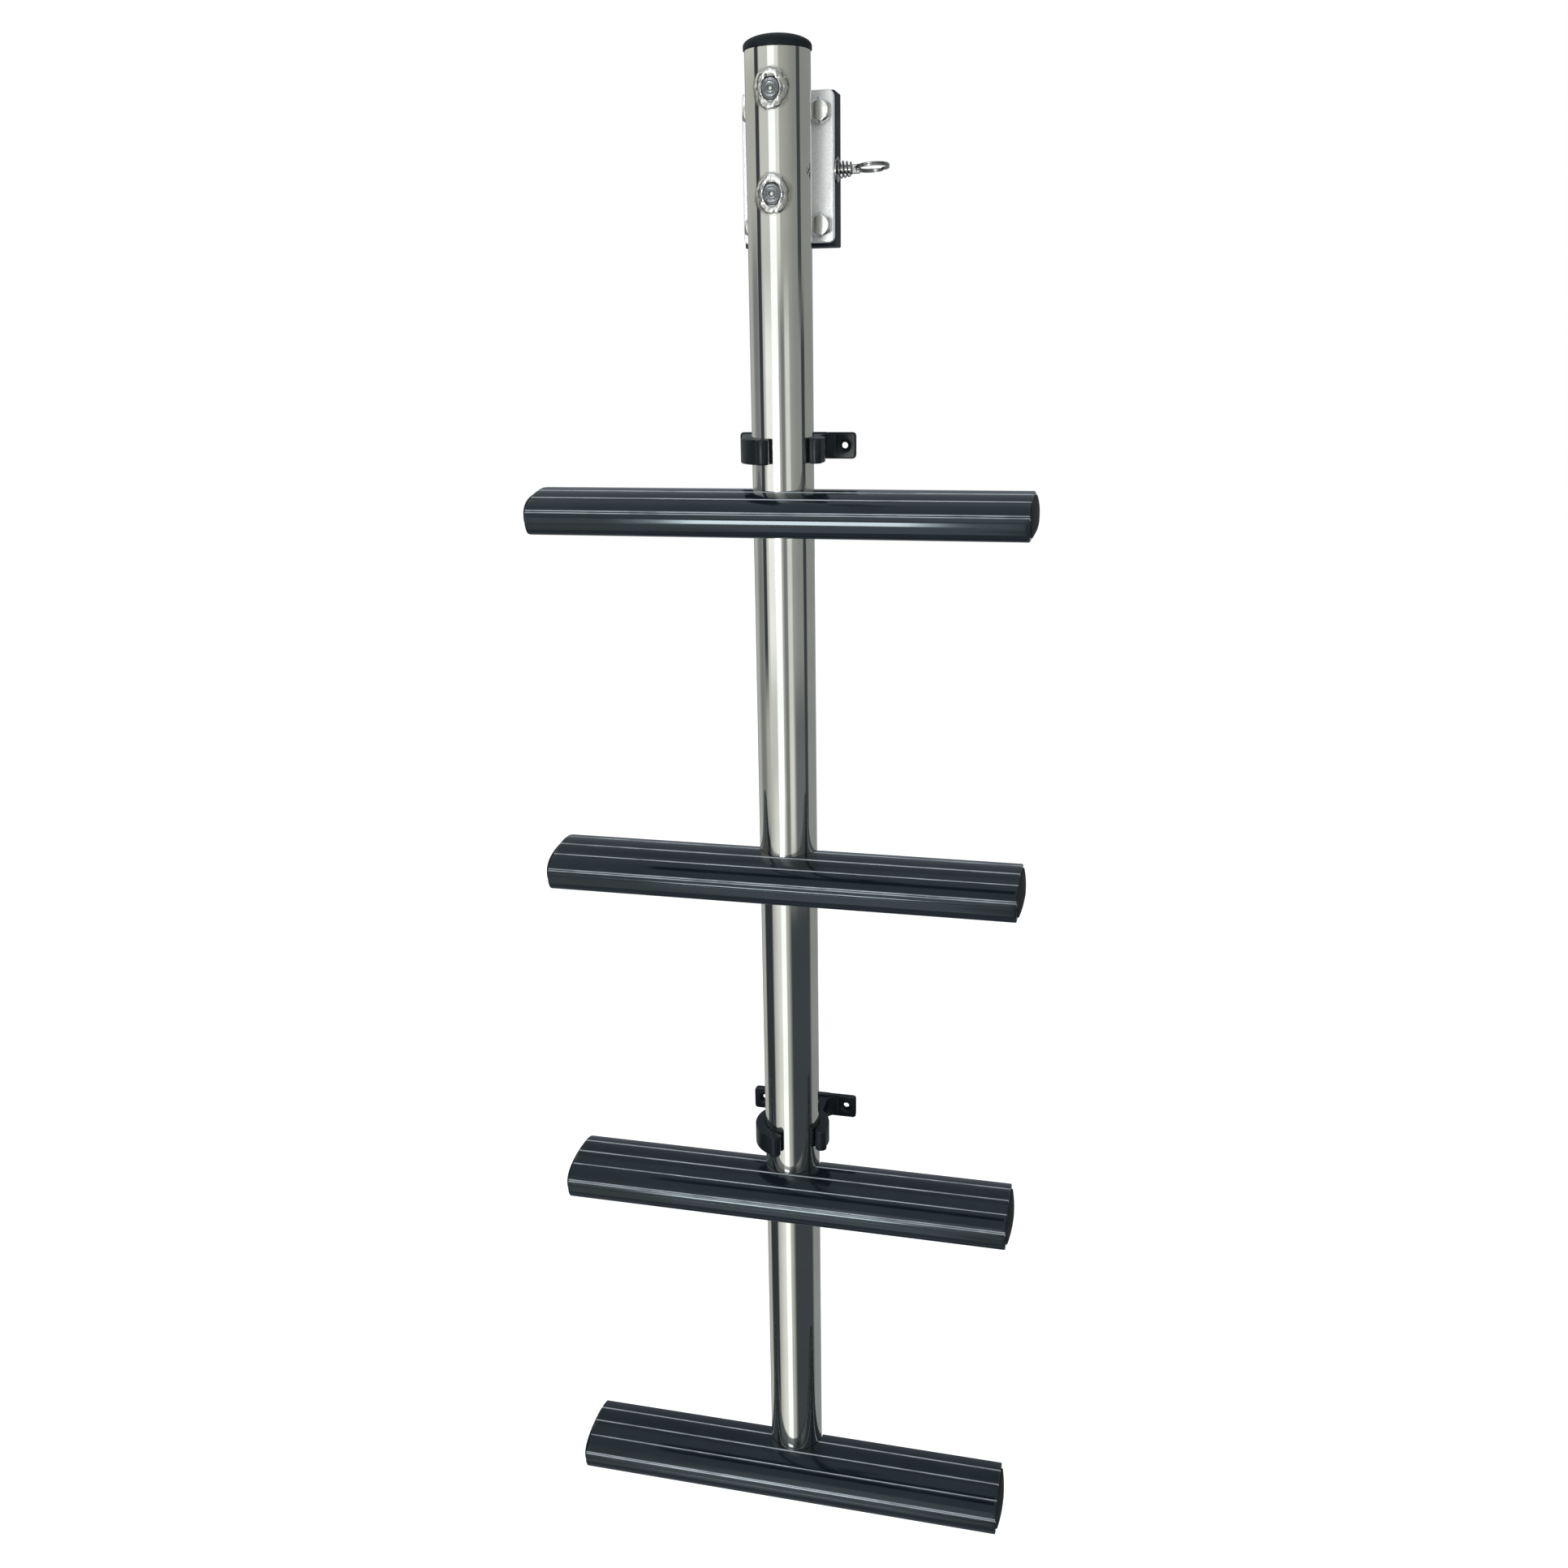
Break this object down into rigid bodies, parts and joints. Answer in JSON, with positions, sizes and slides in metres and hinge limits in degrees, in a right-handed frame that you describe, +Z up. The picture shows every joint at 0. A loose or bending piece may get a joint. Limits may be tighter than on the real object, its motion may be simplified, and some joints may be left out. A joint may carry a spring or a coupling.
{
  "type": "boat boarding ladder",
  "caption": "Slide-mount boarding ladder: a centre tube with ribbed treads hangs by two studs in a slotted transom bracket with a spring lock pin, and carries two storage clips.",
  "frame": {"origin": "centre of the bracket's transom face, at mid height of its block", "axes": "+Z up along the centre tube, +X to the right along the treads seen from the water, +Y through the transom into the boat"},
  "size_m": [0.317, 0.1058, 1.0052],
  "materials": {
    "polished_steel": "mirror-polished stainless tube",
    "turned_steel": "turned stainless bar end",
    "weld_metal": "bright, uneven weld bead",
    "brushed_steel": "bead-blasted stainless plate",
    "bolt_steel": "satin stainless",
    "crossbar_steel": "plain drawn stainless tube",
    "pin_steel": "satin stainless",
    "wire_steel": "drawn stainless wire",
    "tread_plastic": "glossy black extruded plastic",
    "cap_plastic": "black moulded plastic",
    "block_plastic": "black machined plastic",
    "clip_plastic": "black moulded plastic"
  },
  "bodies": {
    "transom_bracket": {"bracket_block": "block_plastic", "bracket_plate": "brushed_steel", "bracket_bolts": "bolt_steel"},
    "ladder": {"main_tube": "polished_steel", "top_plug": "cap_plastic", "foot_plug": "cap_plastic", "upper_stud": "turned_steel", "lower_stud": "turned_steel", "stud_welds": "weld_metal", "crossbar_1": "crossbar_steel", "crossbar_2": "crossbar_steel", "crossbar_3": "crossbar_steel", "crossbar_4": "crossbar_steel", "tread_1": "tread_plastic", "tread_2": "tread_plastic", "tread_3": "tread_plastic", "tread_4": "tread_plastic", "tread_screws": "bolt_steel", "left_cap_1": "cap_plastic", "left_cap_2": "cap_plastic", "left_cap_3": "cap_plastic", "left_cap_4": "cap_plastic", "right_cap_1": "cap_plastic", "right_cap_2": "cap_plastic", "right_cap_3": "cap_plastic", "right_cap_4": "cap_plastic"},
    "lock_pin": {"lock_pin": "pin_steel", "pin_washer": "pin_steel", "pin_spring": "wire_steel"},
    "pull_ring": {"pull_ring": "wire_steel"},
    "upper_clip": {"upper_clip": "clip_plastic"},
    "lower_clip": {"lower_clip": "clip_plastic"}
  },
  "joints": [
    {"name": "ladder_lift", "type": "slide", "parent": "transom_bracket", "child": "ladder", "axis": [0, 0, 1], "range_m": [0, 0.06]},
    {"name": "pin_pull", "type": "slide", "parent": "transom_bracket", "child": "lock_pin", "axis": [1, 0, 0], "range_m": [0, 0.0195]},
    {"name": "ring_swing", "type": "hinge", "parent": "lock_pin", "child": "pull_ring", "pos_m": [0.0401, -0.0135, 0], "axis": [0, 1, 0], "range_deg": [-86, 99]},
    {"name": "upper_clip_turn", "type": "hinge", "parent": "ladder", "child": "upper_clip", "pos_m": [0, -0.044, -0.1617], "axis": [0, 0, 1], "continuous": true},
    {"name": "lower_clip_turn", "type": "hinge", "parent": "ladder", "child": "lower_clip", "pos_m": [0, -0.044, -0.6337], "axis": [0, 0, 1], "continuous": true}
  ],
  "couplings": [
    {"joint": "pin_pull", "follows": "ladder_lift", "ratio": 0.32}
  ]
}
